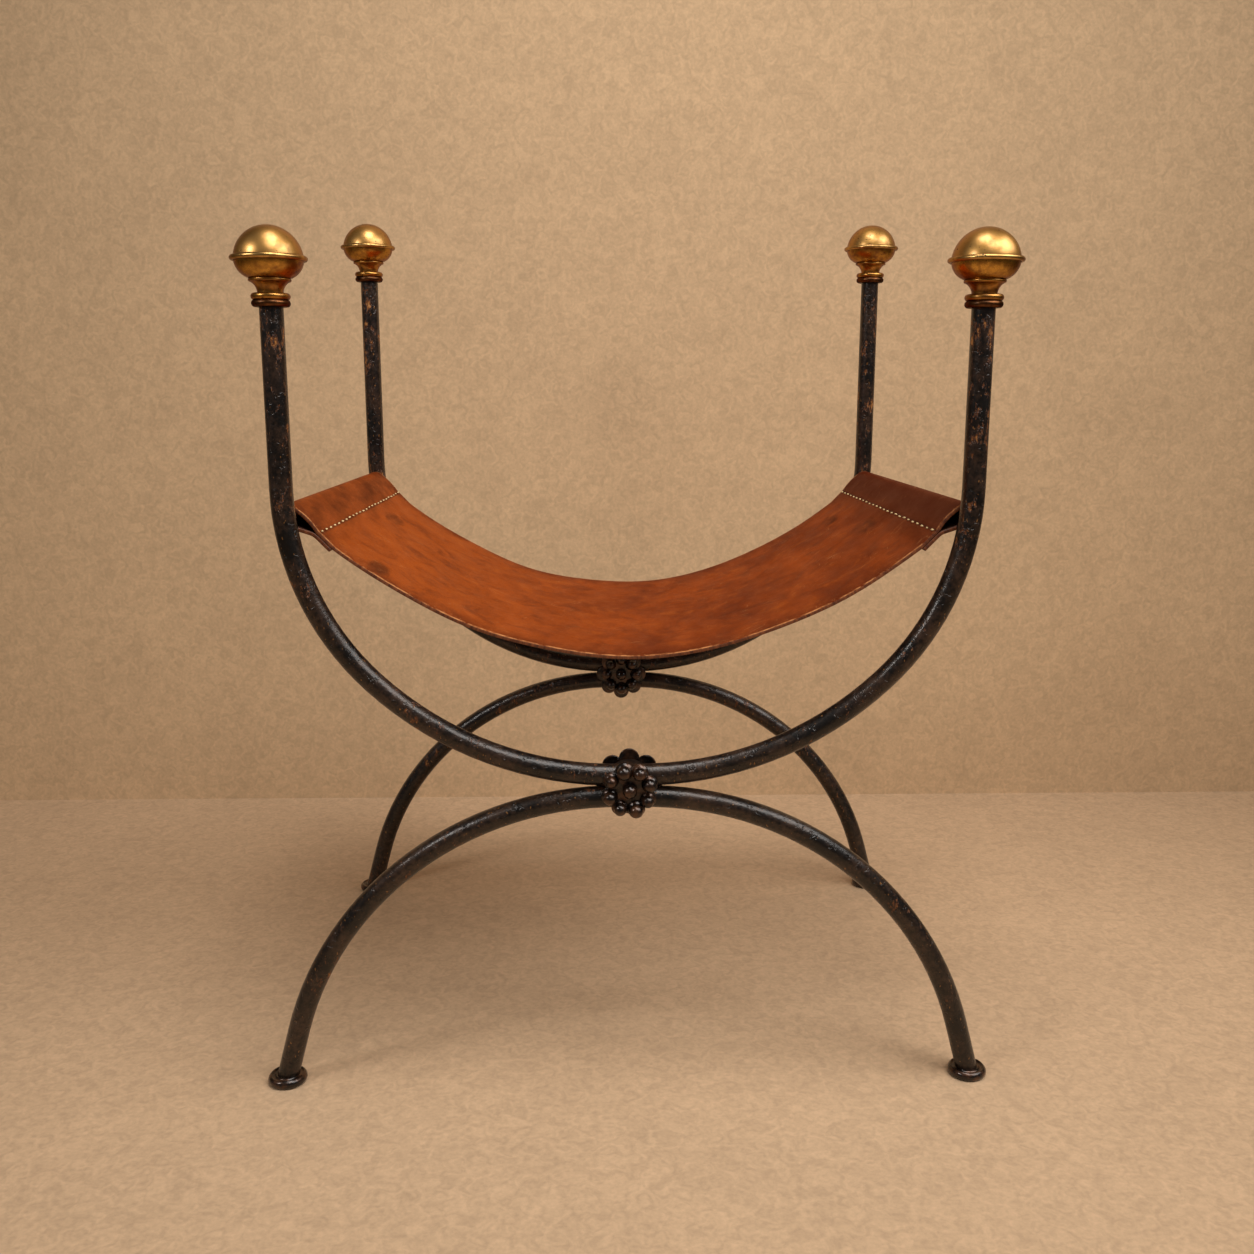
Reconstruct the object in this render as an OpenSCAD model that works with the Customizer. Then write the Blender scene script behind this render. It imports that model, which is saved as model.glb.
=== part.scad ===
// Folding savonarola stool: two side frames of forged round bar, a leather sling and brass ball finials.
// Origin on the floor under the middle of the seat, +X to the sitter's left, +Y to the back, +Z up.

/* [Side frames] */
// Diameter of the round iron bar
bar_d = 19; // [16:0.5:20]
// Front frame to rear frame, bar centre to bar centre
frame_gap = 430; // [340:5:520]
// Middle of the seat to the centre of a post
post_x = 284; // [262:2:320]
// Height of the crossing above the floor
cross_z = 275; // [255:5:300]
// Straight run of each bar on each side of the crossing
cross_flat = 12; // [6:1:18]
// Bend radius of the seat curve next to the crossing
seat_bend_r = 292; // [250:2:300]
// Angle of that bend
seat_bend_a = 44; // [34:1:52]
// Bend radius of the leg
leg_bend_r = 292; // [270:2:300]
// Angle of that bend
leg_bend_a = 75; // [68:1:80]
// Top of the front posts, where the collars sit
front_post_z = 673; // [600:1:740]
// How much taller the rear posts are
rear_post_rise = 55; // [0:1:70]
// Gap between the two bars where they stop against each other
stop_gap = 0.3; // [0.1:0.1:0.6]
// Width of the dressed weld at each change of bend
weld_w = 1.2; // [0.8:0.1:2]
// How far that weld stands proud of the bar
weld_h = 0.03; // [0.02:0.01:0.08]

/* [Crossing] */
// Radius of the round half-lap on each bar
lap_r = 20.5; // [20:0.5:20.5]
// Height of the lap's face over the side of the bar
lap_proud = 0.5; // [0.3:0.1:1]
// Gap between the two laps
lap_gap = 0.2; // [0.1:0.1:0.6]
// Clearance around a lap in the other bar
lap_clear = 0.5; // [0.3:0.1:1]
// Diameter of the pivot pin
pin_d = 8; // [6:0.5:9]
// Thickness of a rosette plate
plate_t = 3; // [2:0.5:4]
// Centre of the rosette to the centre of a petal
petal_ring_r = 20.5; // [19:0.5:21]
// Radius of a petal
petal_r = 9; // [8:0.5:9.5]
// Size of an outer plate as a share of an inner one
outer_share = 0.84; // [0.82:0.02:1]
// Angle of the first petal of an outer plate over the level
outer_turn = 16.5; // [0:0.5:22.5]
// Centre of the rosette to the centre of a ball
ball_ring_r = 17.5; // [16.5:0.5:18]
// Radius of a rosette ball
ball_r = 6; // [5:0.5:6]
// Height of a ball's centre over its plate
ball_rise = 4.6; // [4:0.2:4.8]
// Radius of the ball heads on the pivot pin
pin_ball_r = 6.2; // [5.6:0.2:7]

/* [Finials] */
// Diameter of the dark collar on the post
collar_d = 30.4; // [26:0.2:32]
// Height of the dark collar
collar_h = 5.5; // [4.5:0.5:7]
// How deep the post sits in the collar
collar_seat = 3; // [2:0.5:3.5]
// Diameter of the ring at the foot of the brass neck
neck_ring_d = 30.8; // [27:0.2:33]
// Height of that ring
neck_ring_h = 5; // [4:0.5:6]
// Smallest diameter of the neck
neck_d = 20.2; // [18:0.2:22]
// How far the lip's edge stands out over the hollow curve of the neck
lip_proud = 1.2; // [0.8:0.1:1.6]
// Diameter of the lip that carries the bowl
lip_d = 33.4; // [31:0.2:35]
// Thickness of the lip
lip_t = 2.6; // [2:0.2:3]
// Height of the whole neck over the collar
neck_h = 16.4; // [15.4:0.2:17.4]
// Diameter of the ball at its seam
ball_d = 54.2; // [50:0.2:58]
// Depth of the lower half of the ball
bowl_h = 15.1; // [14:0.1:15.6]
// Rounding of the lower half
bowl_round_r = 16; // [15.8:0.1:18]
// Thickness of the spun brass
shell_t = 1.5; // [1:0.1:2]
// How far the upper half's centre lies below the seam
dome_drop = 1.5; // [0.5:0.5:3]
// Radius of the bead that covers the seam
bead_r = 2.1; // [1.6:0.1:2.6]
// How far the bead's centre lies outside the ball
bead_out = 0.8; // [0.4:0.1:1.2]
// Diameter of the stud that holds the finial
stud_d = 9; // [7:0.5:10]
// Length of the stud inside the post
stud_grip = 15; // [10:1:25]
// Width across the flats of the hidden nut
nut_flats = 15; // [13:1:17]
// Height of the hidden nut
nut_h = 6; // [5:0.5:7]

/* [Feet] */
// Diameter of a foot
foot_d = 34; // [30:1:44]
// Thickness of a foot
foot_h = 8; // [7:0.5:12]
// Metal left under the end of the leg
foot_floor = 2; // [1.5:0.5:3]
// Radius of the rounded edge of a foot
foot_edge_r = 4.6; // [4.4:0.2:5]
// Radius of the dished ring around the leg
dish_r = 2.2; // [1.6:0.2:2.6]
// How far the centre of the dished ring lies over the foot
dish_rise = 0.9; // [0.6:0.1:1.2]

/* [Seat] */
// Height of the seat rails' centres
rail_z = 506; // [480:2:520]
// Diameter of a seat rail
rail_d = 13; // [11:0.5:14]
// Diameter of the tenon on each end of a rail
tenon_d = 10; // [8:0.5:10.5]
// Length of the tenon inside the bar
tenon_l = 11; // [8:1:13]
// Thickness of the leather
leather_t = 3.2; // [2.4:0.2:4]
// Gap between the edge of the leather and the bars
hem_gap = 2.5; // [1:0.5:10]
// Rail to seam, measured level
seam_in = 24.8; // [22:0.2:32]
// Rail to seam, measured down
seam_drop = 15; // [13:0.5:17]
// Seam to the place where the two layers part
seam_set = 2.5; // [2:0.1:4]
// Seam to the end of the stiff double layer, measured level
tab_in = 12; // [9:0.5:16]
// Seam to the end of the stiff double layer, measured down
tab_drop = 12.5; // [10.5:0.5:14]
// How far the sling hangs below the rails
sling_sag = 120; // [80:2:150]
// Gap between the two layers of leather
layer_gap = 0.2; // [0.1:0.1:0.5]
// Gap between the leather and the rail
wrap_gap = 0.3; // [0.2:0.1:0.6]
// Stitches in a seam
stitch_n = 25; // [15:1:30]
// Length of one stitch
stitch_l = 9; // [6:0.5:11]
// Diameter of the waxed thread
thread_d = 1.4; // [1:0.1:2]

/* [Fits] */
// Clearance around a shaft that seats or turns in a hole
fit = 0.05; // [0.02:0.01:0.1]

/* [Hidden] */
$fn = 64;
bar_r = bar_d / 2;
// Distance of each bar's centre from the level of the crossing
bar_off = bar_r + stop_gap / 2;
// Bend radius between the seat curve and the post, so that the post stands upright at post_x
post_bend_r = (post_x - cross_flat - seat_bend_r * sin(seat_bend_a)) / (1 - sin(seat_bend_a));
// Centres and ends of the bends, from the middle of the crossing
seat_bend_c = [-cross_flat, bar_off + seat_bend_r];
seat_bend_end = seat_bend_c - seat_bend_r * [sin(seat_bend_a), cos(seat_bend_a)];
post_bend_c = [post_bend_r - post_x, seat_bend_c[1] - (seat_bend_r - post_bend_r) * cos(seat_bend_a)];
leg_bend_c = [cross_flat, -bar_off - leg_bend_r];
leg_bend_end = leg_bend_c + leg_bend_r * [sin(leg_bend_a), cos(leg_bend_a)];
leg_way = [cos(leg_bend_a), -sin(leg_bend_a)];
// A point of the leg's centre line at height h above the floor
function leg_at(h) = leg_bend_end + leg_way * (leg_bend_end[1] + cross_z - h) / sin(leg_bend_a);
foot_x = leg_at(foot_h / 2)[0];
lap_face = bar_r + lap_proud;
plate_face = lap_face + plate_t;
pin_r = pin_d / 2;
rear_post_z = front_post_z + rear_post_rise;
// Where the rails meet the bars' centre lines
rail_rise = rail_z - cross_z - post_bend_c[1];
rail_x = rail_rise > 0 ? post_x : -post_bend_c[0] + sqrt(pow(post_bend_r, 2) - pow(rail_rise, 2));
rail_span = frame_gap - bar_d;
sling_w = rail_span - 2 * hem_gap;
// Seam, end of the double layer and lowest point of the sling's middle line
seam_x = rail_x - seam_in;
seam_z = rail_z - seam_drop;
tab_x = seam_x - tab_in;
tab_z = seam_z - tab_drop;
sling_z = rail_z - sling_sag;
// Heights inside a finial, from the collar's underside
neck_z = collar_h;
bowl_z = neck_z + neck_h;
seam_up = bowl_z + bowl_h;
// Hollow curve of the neck: upright at the ring, flared at the lip
neck_rise = neck_h - lip_t - neck_ring_h;
neck_flare = (lip_d - neck_d) / 2 - lip_proud;
neck_curve_r = (pow(neck_flare, 2) + pow(neck_rise, 2)) / (2 * neck_flare);
stud_r = stud_d / 2;
ball_rad = ball_d / 2;
dome_r = sqrt(pow(ball_rad, 2) + pow(dome_drop, 2));
// Pieces that go round in eight steps
petal_step = 45;
// Wrap of the leather round a rail: radius of its middle, from the rail's centre
wrap_r = rail_d / 2 + wrap_gap + leather_t / 2;
layer_step = leather_t + layer_gap;
flap_in = [tab_x - seam_x, tab_z - seam_z];
flap_way = flap_in / norm(flap_in);
flap_down = [-flap_way[1], flap_way[0]];
wrap_c = [rail_x, rail_z];
// Direction from a point to where a line through it touches the wrap, on the upper or the lower side
function touch(p, side) =
    let (v = wrap_c - p, d = norm(v), a = atan2(v[1], v[0]) + side * asin(wrap_r / d))
    [a, sqrt(d * d - wrap_r * wrap_r)];
seam_top = [seam_x, seam_z];
seam_low = seam_top + layer_step * flap_down;
tab_low = [tab_x, tab_z] + layer_step * flap_down;
part_top = seam_top - seam_set * flap_way;
part_low = seam_low - seam_set * flap_way;
touch_top = touch(part_top, 1);
touch_low = touch(part_low, -1);
wrap_from = touch_top[0] + 90;
wrap_to = touch_low[0] - 90;
wrap_steps = 14;
sling_steps = 40;
// Height of the hanging sling at x
function sling_at(x) = sling_z + (tab_z - sling_z) * pow(x / tab_x, 2);
// Middle line of the right half of the leather, from the flap's end round the rail to the lowest point
half_line = concat(
    [tab_low, part_low],
    [for (i = [0 : wrap_steps])
        let (a = wrap_to + (wrap_from - wrap_to) * i / wrap_steps)
        wrap_c + wrap_r * [cos(a), sin(a)]],
    [part_top, [tab_x, tab_z]],
    [for (i = [1 : sling_steps]) let (x = tab_x * (1 - i / sling_steps)) [x, sling_at(x)]]
);
half_n = len(half_line);
// The whole middle line, right flap to left flap
sling_line = concat(half_line, [for (i = [half_n - 2 : -1 : 0]) [-half_line[i][0], half_line[i][1]]]);
line_n = len(sling_line);
// Unit normal of the middle line at point i, halfway between its two neighbouring stretches
function way(i) = let (v = sling_line[i + 1] - sling_line[i]) v / norm(v);
function line_way(i) =
    let (v = (i == 0 ? way(0) : i == line_n - 1 ? way(i - 1) : way(i - 1) + way(i))) v / norm(v);
function line_side(i) = let (v = line_way(i)) [-v[1], v[0]];
// Half thickness along the corner, so that both stretches keep their full thickness
function line_half(i) = (i == 0 || i == line_n - 1) ? leather_t / 2
    : leather_t / 2 / (line_side(i) * [-way(i)[1], way(i)[0]]);
stitch_pitch = sling_w / stitch_n;
thread_r = thread_d / 2;
thread_up = leather_t / 2 + thread_r + fit;

// Puts a piece drawn about the crossing, with its outer face towards -Y, in the front or the rear frame
module in_frame(rear) {
    translate([0, (rear ? 1 : -1) * frame_gap / 2, cross_z])
        mirror([0, rear ? 1 : 0, 0])
            children();
}

// Puts a piece drawn about a post's axis on top of that post
module on_post(right, rear) {
    translate([(right ? 1 : -1) * post_x, (rear ? 1 : -1) * frame_gap / 2, rear ? rear_post_z : front_post_z])
        children();
}

// Straight bar between two points of the frame's plane
module straight(from, to, d = bar_d) {
    v = to - from;
    translate([from[0], 0, from[1]])
        rotate([0, atan2(v[0], v[1]), 0])
            cylinder(d = d, h = norm(v));
}

// Bent bar in the frame's plane
module bend(centre, r, start, angle) {
    translate([centre[0], 0, centre[1]])
        rotate([90, 0, 0])
            rotate_extrude(angle = angle, start = start)
                translate([r, 0])
                    circle(d = bar_d);
}

// Dressed weld across the bar where one bend runs into the next
module weld(at, a) {
    half = weld_w / 2 * [cos(a), sin(a)];
    straight(at - half, at + half, bar_d + 2 * weld_h);
}

// Round shaft along Y in a frame, from one depth to another
module across(r, from, to) {
    translate([0, from, 0])
        rotate([-90, 0, 0])
            cylinder(r = r, h = to - from);
}

// One forged bar: left post, seat curve, half-lap, right leg. The lap lies in the outer or the inner half.
module side_bar(rear, inner) {
    post_top = (rear ? rear_post_z : front_post_z) + collar_seat - cross_z;
    lap_side = inner ? 1 : -1;
    leg_end = leg_at(foot_floor + fit);
    difference() {
        union() {
            straight([0, bar_off], [-cross_flat, bar_off]);
            weld([-cross_flat, bar_off], 0);
            bend(seat_bend_c, seat_bend_r, -90 - seat_bend_a, seat_bend_a);
            weld(seat_bend_end, -seat_bend_a);
            bend(post_bend_c, post_bend_r, 180, 90 - seat_bend_a);
            weld([-post_x, post_bend_c[1]], 90);
            straight([-post_x, post_bend_c[1]], [-post_x, post_top]);
            straight([0, -bar_off], [cross_flat, -bar_off]);
            weld([cross_flat, -bar_off], 0);
            bend(leg_bend_c, leg_bend_r, 90 - leg_bend_a, leg_bend_a);
            weld(leg_bend_end, -leg_bend_a);
            straight(leg_bend_end, leg_end + leg_way * bar_r);
            across(lap_r, inner ? lap_gap / 2 : -lap_face, inner ? lap_face : -lap_gap / 2);
        }
        // Room for the other bar's lap
        across(lap_r + lap_clear, inner ? -bar_d : -lap_gap / 2, inner ? lap_gap / 2 : bar_d);
        across(pin_r + fit, -bar_d, bar_d);
        // Level end of the leg
        translate([leg_end[0] - bar_d, -bar_d, foot_floor + fit - cross_z - bar_d])
            cube([2 * bar_d, 2 * bar_d, bar_d]);
        // Socket for the rail's tenon, from the inner side
        translate([-rail_x, 0, rail_z - cross_z])
            across(tenon_d / 2 + fit, bar_r - tenon_l - fit, bar_d);
        // Hole for the finial's stud
        translate([-post_x, 0, post_top - stud_grip - fit])
            cylinder(r = stud_r + fit, h = stud_grip + bar_d);
    }
}

module bar_a(rear) {
    color("#2b2826")
        in_frame(rear)
            side_bar(rear, false);
}

module bar_b(rear) {
    color("#302c2a")
        in_frame(rear)
            mirror([1, 0, 0])
                side_bar(rear, true);
}

// Seat rail with a tenon on each end
module seat_rail(right) {
    color("#2a2724")
        translate([(right ? 1 : -1) * rail_x, 0, rail_z]) {
            across(rail_d / 2, -rail_span / 2, rail_span / 2);
            across(tenon_d / 2, -rail_span / 2 - tenon_l, rail_span / 2 + tenon_l);
        }
}

// Flat disc outline with a rounded edge
module round_edged(r, h, edge) {
    square([r - edge, h]);
    intersection() {
        translate([r - edge, h / 2])
            circle(r = edge);
        square([r + edge, h]);
    }
}

// Foot: thick disc with a dished ring and a socket for the leg
module foot(right, rear) {
    side = right ? 1 : -1;
    color("#26221f")
        translate([0, (rear ? 1 : -1) * frame_gap / 2, 0])
            mirror([right ? 0 : 1, 0, 0])
                difference() {
                    translate([foot_x, 0, 0])
                        rotate_extrude()
                            difference() {
                                round_edged(foot_d / 2, foot_h, foot_edge_r);
                                translate([bar_r + dish_r + 0.4, foot_h + dish_rise])
                                    circle(r = dish_r);
                            }
                    intersection() {
                        translate([0, 0, cross_z])
                            straight(leg_at(foot_h + bar_d), leg_at(-bar_d), bar_d + 2 * fit);
                        translate([foot_x - foot_d, -foot_d, foot_floor])
                            cube([2 * foot_d, 2 * foot_d, foot_h]);
                    }
                }
}

// Petalled plate of a rosette
module rosette_plate(turn, share) {
    rotate([90, 0, 0])
        linear_extrude(plate_t)
            difference() {
                union() {
                    circle(r = share * petal_ring_r);
                    for (a = [0 : petal_step : 359])
                        rotate(a + turn)
                            translate([share * petal_ring_r, 0])
                                circle(r = share * petal_r);
                }
                circle(r = pin_r + fit);
            }
}

// Ball with a flat seat on the plane y = 0, standing towards -Y, with a blind hole from its seat
module seated_ball(r, rise, hole_r, hole_l) {
    rotate([90, 0, 0])
        rotate_extrude($fn = 40)
            difference() {
                intersection() {
                    translate([0, rise])
                        circle(r = r);
                    square([2 * r, 3 * r]);
                }
                if (hole_r > 0)
                    translate([-r, -r])
                        square([r + hole_r, r + hole_l]);
            }
}

module rosette_balls(turn) {
    for (a = [0 : petal_step : 359])
        rotate([0, -a - turn, 0])
            translate([ball_ring_r, 0, 0])
                seated_ball(ball_r, ball_rise, 0, 0);
}

// The outer rosette turns with bar A, the inner one with bar B
module rosette(rear, inner) {
    color("#33291f")
        in_frame(rear)
            mirror([0, inner ? 1 : 0, 0])
                translate([0, -lap_face, 0])
                    rosette_plate(inner ? 0 : outer_turn, inner ? 1 : outer_share);
}

module rosette_ball_ring(rear, inner) {
    color("#3b2d22")
        in_frame(rear)
            mirror([0, inner ? 1 : 0, 0])
                translate([0, -plate_face, 0])
                    rosette_balls(inner ? 0 : outer_turn);
}

// Pivot pin with a ball head outside and a shank through both laps and plates
pin_end = plate_face + lap_gap + pin_ball_r;
module pivot_pin(rear) {
    color("#30271f")
        in_frame(rear) {
            translate([0, -plate_face, 0])
                seated_ball(pin_ball_r, ball_rise, 0, 0);
            across(pin_r, -plate_face - ball_rise, pin_end);
        }
}

// Ball cap pressed on the inner end of the pin
module pin_cap(rear) {
    color("#30271f")
        in_frame(rear)
            translate([0, plate_face + lap_gap, 0])
                mirror([0, 1, 0])
                    seated_ball(pin_ball_r, ball_rise, pin_r + fit, pin_ball_r + fit);
}

// Dark collar over the end of the post
module collar(right, rear) {
    color("#2e241c")
        on_post(right, rear)
            difference() {
                rotate_extrude()
                    round_edged(collar_d / 2, collar_h, collar_h / 2 + 0.3);
                translate([0, 0, -collar_h])
                    cylinder(r = bar_r + fit, h = collar_h + collar_seat);
                cylinder(r = stud_r + fit, h = 2 * collar_h);
            }
}

// Turned brass neck: ring, hollow curve and lip
module neck(right, rear) {
    color("#a9853c")
        on_post(right, rear)
            translate([0, 0, neck_z])
                difference() {
                    rotate_extrude() {
                        round_edged(neck_ring_d / 2, neck_ring_h, neck_ring_h / 2 + 0.3);
                        difference() {
                            square([neck_d / 2 + neck_flare, neck_h - lip_t / 2]);
                            translate([neck_d / 2 + neck_curve_r, neck_ring_h])
                                circle(r = neck_curve_r);
                        }
                        translate([0, neck_h - lip_t])
                            round_edged(lip_d / 2, lip_t, lip_t / 2 + 0.2);
                    }
                    translate([0, 0, -1])
                        cylinder(r = stud_r + fit, h = neck_h + 2);
                }
}

// Outline of the lower half of the ball, drawn in by t
module bowl_outline(t) {
    intersection() {
        union() {
            square([ball_rad - bowl_round_r, seam_up + t]);
            translate([ball_rad - bowl_round_r, seam_up])
                circle(r = bowl_round_r - t);
        }
        translate([0, bowl_z + t])
            square([ball_d, bowl_h - (t > 0 ? 0 : t)]);
    }
}

// Lower half of the spun ball
module bowl(right, rear) {
    color("#b08a3e")
        on_post(right, rear)
            difference() {
                rotate_extrude()
                    bowl_outline(0);
                rotate_extrude()
                    bowl_outline(shell_t);
                translate([0, 0, bowl_z - 1])
                    cylinder(r = stud_r + fit, h = shell_t + 2);
            }
}

// Upper half of the spun ball
module dome(right, rear) {
    color("#c39c48")
        on_post(right, rear)
            difference() {
                translate([0, 0, seam_up - dome_drop])
                    sphere(r = dome_r);
                translate([0, 0, seam_up - dome_drop])
                    sphere(r = dome_r - shell_t);
                translate([-ball_d, -ball_d, seam_up - 2 * ball_d])
                    cube(2 * ball_d);
            }
}

// Bead that covers the seam of the ball
module bead(right, rear) {
    color("#8f6c30")
        on_post(right, rear)
            translate([0, 0, seam_up])
                difference() {
                    rotate_extrude()
                        translate([ball_rad + bead_out, 0])
                            circle(r = bead_r);
                    translate([0, 0, -2 * bead_r])
                        cylinder(r = ball_rad + fit, h = 4 * bead_r);
                }
}

// Studs of the two finials of one side: they hold neck and bowl on the posts
module finial_studs(right) {
    color("#6f6a62")
        for (rear = [false, true])
            on_post(right, rear)
                translate([0, 0, collar_seat - stud_grip])
                    cylinder(r = stud_r, h = stud_grip - collar_seat + bowl_z + shell_t + nut_h + 2);
}

// Nuts inside the balls of one side
module finial_nuts(right) {
    color("#6a6258")
        for (rear = [false, true])
            on_post(right, rear)
                translate([0, 0, bowl_z + shell_t])
                    difference() {
                        cylinder(d = nut_flats / cos(30), h = nut_h, $fn = 6);
                        translate([0, 0, -1])
                            cylinder(r = stud_r + fit, h = nut_h + 2);
                    }
}

// Leather sling: one strip, looped over both rails, its ends sewn under it
module leather_sling() {
    color("#8a4a26")
        translate([0, sling_w / 2, 0])
            rotate([90, 0, 0])
                linear_extrude(sling_w)
                    polygon(concat(
                        [for (i = [0 : line_n - 1]) sling_line[i] + line_half(i) * line_side(i)],
                        [for (i = [line_n - 1 : -1 : 0]) sling_line[i] - line_half(i) * line_side(i)]
                    ));
}

// Waxed thread of one seam: long stitches on top, and between them the ones below
module seam_thread(right) {
    top = seam_top - thread_up * flap_down;
    low = seam_low + thread_up * flap_down;
    color("#d9c49a")
        mirror([right ? 0 : 1, 0, 0]) {
            for (i = [0 : stitch_n - 1])
                translate([top[0], -sling_w / 2 + (i + 0.5) * stitch_pitch - stitch_l / 2, top[1]])
                    across(thread_r, 0, stitch_l);
            for (i = [1 : stitch_n - 1])
                translate([low[0], -sling_w / 2 + i * stitch_pitch - stitch_l / 2, low[1]])
                    across(thread_r, 0, stitch_l);
        }
}

bar_a(false);  // front_bar_a
bar_b(false);  // front_bar_b
bar_a(true);  // rear_bar_a
bar_b(true);  // rear_bar_b
seat_rail(false);  // left_seat_rail
seat_rail(true);  // right_seat_rail
foot(false, false);  // front_left_foot
foot(true, false);  // front_right_foot
foot(false, true);  // rear_left_foot
foot(true, true);  // rear_right_foot
rosette(false, false);  // front_outer_rosette
rosette(false, true);  // front_inner_rosette
rosette(true, false);  // rear_outer_rosette
rosette(true, true);  // rear_inner_rosette
rosette_ball_ring(false, false);  // front_outer_balls
rosette_ball_ring(false, true);  // front_inner_balls
rosette_ball_ring(true, false);  // rear_outer_balls
rosette_ball_ring(true, true);  // rear_inner_balls
pivot_pin(false);  // front_pivot_pin
pivot_pin(true);  // rear_pivot_pin
pin_cap(false);  // front_pin_cap
pin_cap(true);  // rear_pin_cap
collar(false, false);  // front_left_collar
neck(false, false);  // front_left_neck
bowl(false, false);  // front_left_bowl
bead(false, false);  // front_left_bead
dome(false, false);  // front_left_dome
collar(true, false);  // front_right_collar
neck(true, false);  // front_right_neck
bowl(true, false);  // front_right_bowl
bead(true, false);  // front_right_bead
dome(true, false);  // front_right_dome
collar(false, true);  // rear_left_collar
neck(false, true);  // rear_left_neck
bowl(false, true);  // rear_left_bowl
bead(false, true);  // rear_left_bead
dome(false, true);  // rear_left_dome
collar(true, true);  // rear_right_collar
neck(true, true);  // rear_right_neck
bowl(true, true);  // rear_right_bowl
bead(true, true);  // rear_right_bead
dome(true, true);  // rear_right_dome
finial_studs(false);  // left_finial_studs
finial_studs(true);  // right_finial_studs
finial_nuts(false);  // left_finial_nuts
finial_nuts(true);  // right_finial_nuts
leather_sling();
seam_thread(false);  // left_seam_thread
seam_thread(true);  // right_seam_thread
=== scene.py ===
"""Looks of a folding savonarola stool: forged iron frames, aged brass finials and a russet leather sling."""

import logging
import math
import random
from dataclasses import dataclass
from enum import Enum
from typing import Any

import bmesh
import bpy
from mathutils import Matrix, Vector


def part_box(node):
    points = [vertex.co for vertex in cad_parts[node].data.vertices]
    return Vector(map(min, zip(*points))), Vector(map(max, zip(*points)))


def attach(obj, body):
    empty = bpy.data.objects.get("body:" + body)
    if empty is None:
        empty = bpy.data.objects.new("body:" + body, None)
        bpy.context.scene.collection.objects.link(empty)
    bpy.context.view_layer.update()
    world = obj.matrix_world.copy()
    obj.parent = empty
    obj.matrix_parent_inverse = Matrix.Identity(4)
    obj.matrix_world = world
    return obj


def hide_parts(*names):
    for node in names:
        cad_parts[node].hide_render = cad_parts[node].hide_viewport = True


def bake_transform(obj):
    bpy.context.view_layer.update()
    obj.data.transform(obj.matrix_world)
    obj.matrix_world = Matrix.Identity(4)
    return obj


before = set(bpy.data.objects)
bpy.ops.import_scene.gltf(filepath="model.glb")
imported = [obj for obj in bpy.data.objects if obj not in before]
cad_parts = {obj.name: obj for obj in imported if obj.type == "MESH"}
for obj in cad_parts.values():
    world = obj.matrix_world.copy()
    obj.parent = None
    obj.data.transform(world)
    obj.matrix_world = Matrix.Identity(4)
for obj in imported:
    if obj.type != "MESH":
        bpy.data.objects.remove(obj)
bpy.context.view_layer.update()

log = logging.getLogger("stool")
MM = 0.001
TAU = 2 * math.pi
Place = tuple[float, float, float]


class Side(Enum):
    """Left or right of the stool, as seen from the front."""

    LEFT = -1
    RIGHT = 1


class Row(Enum):
    """The front or the rear side frame."""

    FRONT = -1
    REAR = 1


class Face(Enum):
    """The side of a crossing that a rosette covers."""

    OUTER = -1
    INNER = 1


def linear(hex_code: str) -> tuple[float, float, float, float]:
    """Turns an sRGB hex colour to linear light.

    Args:
        hex_code: six hex digits.

    Returns:
        Red, green, blue and an alpha of 1.
    """
    parts = [int(hex_code[i : i + 2], 16) / 255 for i in (0, 2, 4)]
    r, g, b = (c / 12.92 if c <= 0.04045 else ((c + 0.055) / 1.055) ** 2.4 for c in parts)
    return (r, g, b, 1.0)


def per_mm(size: float) -> float:
    """Scale of a pattern whose repeat is a size in millimetres."""
    return 1 / (size * MM)


class Recipe:
    """A material made up of nodes."""

    def __init__(self, name: str) -> None:
        """Starts an empty node material.

        Args:
            name: the material's name.
        """
        self.material = bpy.data.materials.new(name)
        self.material.use_nodes = True
        self.tree = self.material.node_tree
        self.tree.nodes.clear()

    def add(self, kind: str, inputs: dict[Any, Any] | None = None, out: Any = 0, **settings: Any) -> Any:
        """Adds a node.

        Args:
            kind: the node's type, without its first word.
            inputs: a value or another node's socket for each input, by name or number.
            out: the output to give back.
            **settings: the node's own properties.

        Returns:
            The socket of that output, or None for the last node of all.
        """
        made = self.tree.nodes.new(f"ShaderNode{kind}")
        for key, value in settings.items():
            setattr(made, key, value)
        for key, value in (inputs or {}).items():
            if isinstance(value, bpy.types.NodeSocket):
                self.tree.links.new(value, made.inputs[key])
            else:
                made.inputs[key].default_value = value
        return made.outputs[out] if made.outputs else None


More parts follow.
